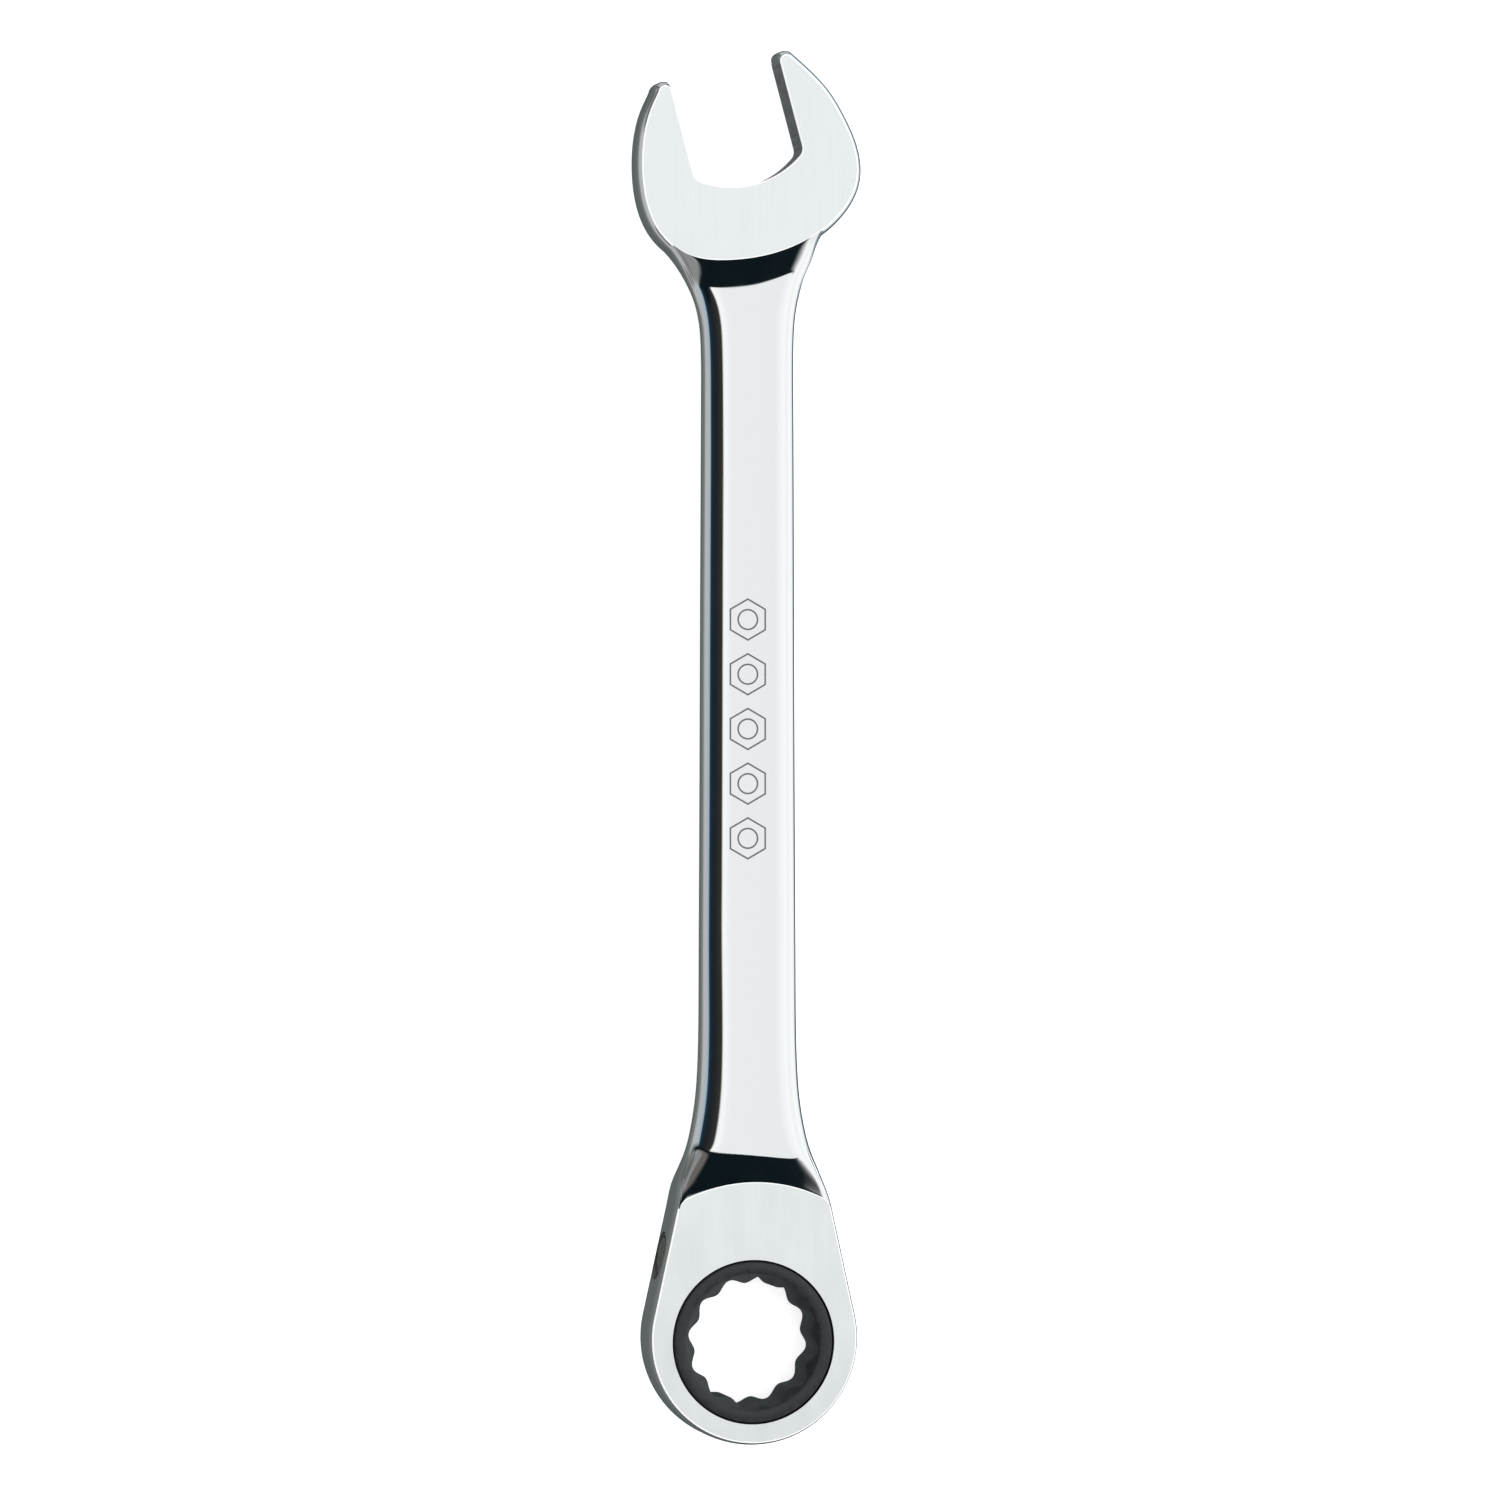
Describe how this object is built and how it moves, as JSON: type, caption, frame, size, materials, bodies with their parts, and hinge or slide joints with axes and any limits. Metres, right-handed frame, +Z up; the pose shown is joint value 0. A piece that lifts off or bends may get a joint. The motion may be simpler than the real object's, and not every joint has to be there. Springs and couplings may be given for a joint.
{
  "type": "ratcheting combination wrench",
  "caption": "Flat hand wrench with an angled open jaw at one end and a ratcheting socket ring held in the other.",
  "frame": {"origin": "middle of the bounding box, at the underside of the box head", "axes": "+Y along the wrench from the ratcheting ring to the open jaw, +Z up out of the flat faces, +X across the shank"},
  "size_m": [0.039, 0.2352, 0.011],
  "materials": {
    "chrome_body": "mirror chrome on shank and necks, satin ground head faces",
    "black_ring": "black oxide, semi-matte",
    "hardened_steel": "machined and hardened",
    "spring_steel": "drawn wire",
    "plug_steel": "turned, dark",
    "retainer_steel": "blued spring steel"
  },
  "bodies": {
    "wrench": {"wrench_body": "chrome_body", "pawl_bore_plug": "plug_steel", "retaining_ring": "retainer_steel", "pawl_spring": "spring_steel"},
    "socket_ring": {"ring_gear": "black_ring"},
    "pawl_slider": {"pawl": "hardened_steel"}
  },
  "joints": [
    {"name": "ring_spin", "type": "hinge", "parent": "wrench", "child": "socket_ring", "pos_m": [0.00036, -0.0998, 0.0055], "axis": [0, 0, 1], "continuous": true},
    {"name": "pawl_slide", "type": "slide", "parent": "wrench", "child": "pawl_slider", "axis": [-0.9881, 0.1536, 0], "range_m": [0, 0.0012], "stiffness_N_per_m": 1200, "springref_m": -0.002, "deforming": ["pawl_spring"]}
  ]
}
